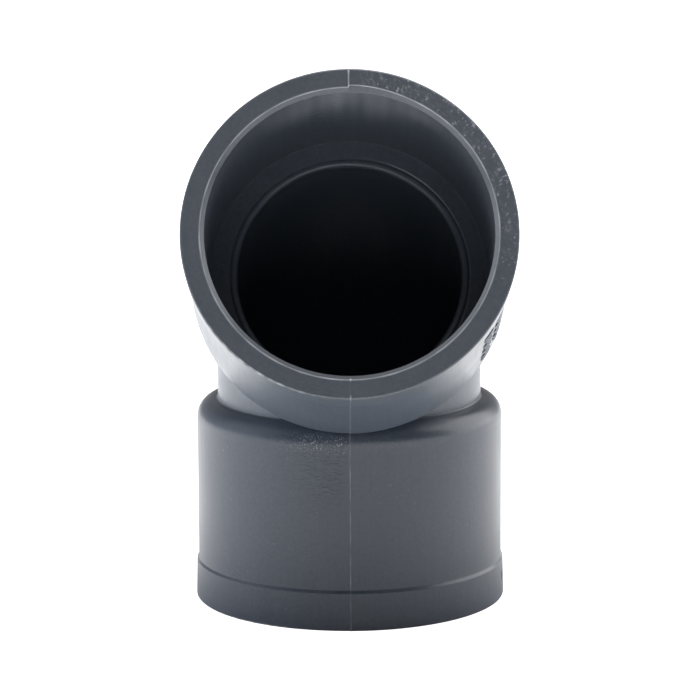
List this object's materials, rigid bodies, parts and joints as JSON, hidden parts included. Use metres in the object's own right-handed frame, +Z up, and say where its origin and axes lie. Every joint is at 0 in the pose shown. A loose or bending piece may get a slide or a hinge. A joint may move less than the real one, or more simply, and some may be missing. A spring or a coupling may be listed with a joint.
{
  "type": "pipe elbow",
  "caption": "Moulded grey PVC-U pipe elbow that turns the flow 67.5 degrees, with a plain solvent-weld socket at each end and a thicker band round each mouth.",
  "frame": {"origin": "centre of the lower mouth, in the plane of its flat face", "axes": "+Z up the lower socket's axis, into the fitting; the waterway then bends towards -Y, so that the upper mouth faces -Y and upwards at 22.5 degrees; the plane X = 0 is the mould's parting plane and the plane of symmetry"},
  "size_m": [0.0586, 0.0921, 0.1044],
  "materials": {
    "pvc_u": "dark blue-grey moulded PVC-U, satin, with a fine mould parting line"
  },
  "bodies": {
    "root": {"lower_mouth_band": "pvc_u", "lower_socket": "pvc_u", "lower_stop_ring": "pvc_u", "bend": "pvc_u", "upper_stop_ring": "pvc_u", "upper_socket": "pvc_u", "upper_mouth_band": "pvc_u"}
  },
  "joints": []
}
